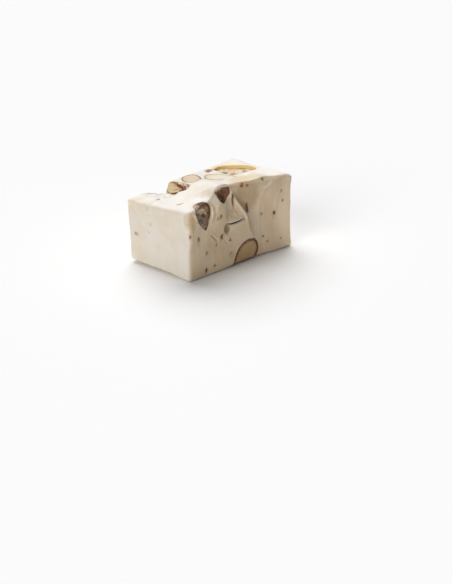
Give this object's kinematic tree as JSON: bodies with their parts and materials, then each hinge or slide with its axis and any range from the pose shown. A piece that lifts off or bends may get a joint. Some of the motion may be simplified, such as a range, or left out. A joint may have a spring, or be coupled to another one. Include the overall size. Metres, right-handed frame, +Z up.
{
  "type": "nougat bar",
  "caption": "Hand-cut bar of soft off-white nougat with almond sections showing on its faces, a stepped top, a chipped back edge and a fold down the front.",
  "frame": {"origin": "on the table, under the middle of the bar's bounding box", "axes": "+Z up, +X along the bar's length towards the end without the step, +Y across it from the front with the fold to the chipped back edge"},
  "size_m": [0.0605, 0.0377, 0.036],
  "materials": {
    "nougat": "soft satin, slightly translucent at the edges",
    "almond": "matte cut almond with a thin brown skin line",
    "almond_skin": "dull brown almond skin"
  },
  "bodies": {
    "root": {"nougat": "nougat", "almond_arch": "almond", "almond_hollow_left": "almond_skin", "almond_hollow_right": "almond_skin", "almond_slit": "almond_skin", "almond_chipped": "almond", "almond_top_small": "almond", "almond_top_large": "almond", "almond_top_back": "almond", "almond_back_1": "almond", "almond_back_2": "almond", "almond_back_3": "almond", "almond_back_4": "almond", "almond_back_5": "almond", "almond_right_1": "almond", "almond_right_2": "almond", "almond_under_1": "almond", "almond_under_2": "almond"}
  },
  "joints": []
}
